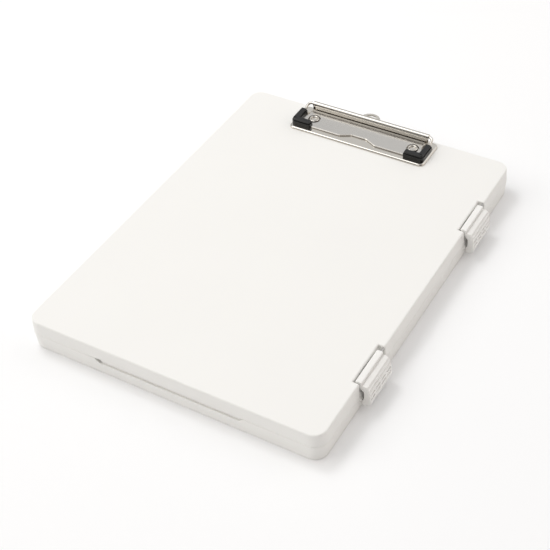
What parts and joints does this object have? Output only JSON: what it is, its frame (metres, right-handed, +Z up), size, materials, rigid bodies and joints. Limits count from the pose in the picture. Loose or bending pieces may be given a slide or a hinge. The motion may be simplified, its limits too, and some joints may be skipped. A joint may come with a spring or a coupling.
{
  "type": "storage clipboard box",
  "caption": "Flat document box whose hinged lid carries a sprung board clip, held shut by side latches, for writing on and storing papers",
  "frame": {"origin": "on the table, under the middle of the closed case", "axes": "+Z up through the lid, +Y along the case towards the board clip, +X towards the latch side; the hinge is on the -X side"},
  "size_m": [0.2434, 0.3075, 0.0336],
  "materials": {
    "case_plastic": "white moulded polypropylene, very fine texture",
    "latch_plastic": "white moulded plastic, slightly smoother than the case",
    "cap_plastic": "black moulded plastic with a soft sheen",
    "clip_plating": "nickel-plated pressed steel",
    "steel_pin": "plain drawn steel"
  },
  "bodies": {
    "tray": {"tray_shell": "case_plastic", "hinge_pin_front": "steel_pin", "hinge_pin_rear": "steel_pin"},
    "lid": {"lid_shell": "case_plastic", "latch_pin_front": "steel_pin", "latch_pin_rear": "steel_pin", "clip_base_plate": "clip_plating", "clip_rivet_left": "clip_plating", "clip_rivet_right": "clip_plating", "rivet_washer_left": "steel_pin", "rivet_washer_right": "steel_pin"},
    "front_latch": {"latch_front": "latch_plastic"},
    "rear_latch": {"latch_rear": "latch_plastic"},
    "clip_jaw": {"clip_spring_wire": "clip_plating", "clip_jaw_plate": "clip_plating", "clip_cap_left": "cap_plastic", "clip_cap_right": "cap_plastic"}
  },
  "joints": [
    {"name": "lid_hinge", "type": "hinge", "parent": "tray", "child": "lid", "pos_m": [-0.1182, 0, 0.0136], "axis": [0, -1, 0], "range_deg": [0, 174]},
    {"name": "front_latch_pivot", "type": "hinge", "parent": "lid", "child": "front_latch", "pos_m": [0.1134, -0.08495, 0.0226], "axis": [0, -1, 0], "range_deg": [0, 110]},
    {"name": "rear_latch_pivot", "type": "hinge", "parent": "lid", "child": "rear_latch", "pos_m": [0.1134, 0.08045, 0.0226], "axis": [0, -1, 0], "range_deg": [0, 110]},
    {"name": "clip_jaw_pivot", "type": "hinge", "parent": "lid", "child": "clip_jaw", "pos_m": [-0.0046, 0.1474, 0.0314], "axis": [-1, 0, 0], "range_deg": [0, 80], "stiffness_Nm_per_rad": 0.1, "springref_deg": -57.3}
  ]
}
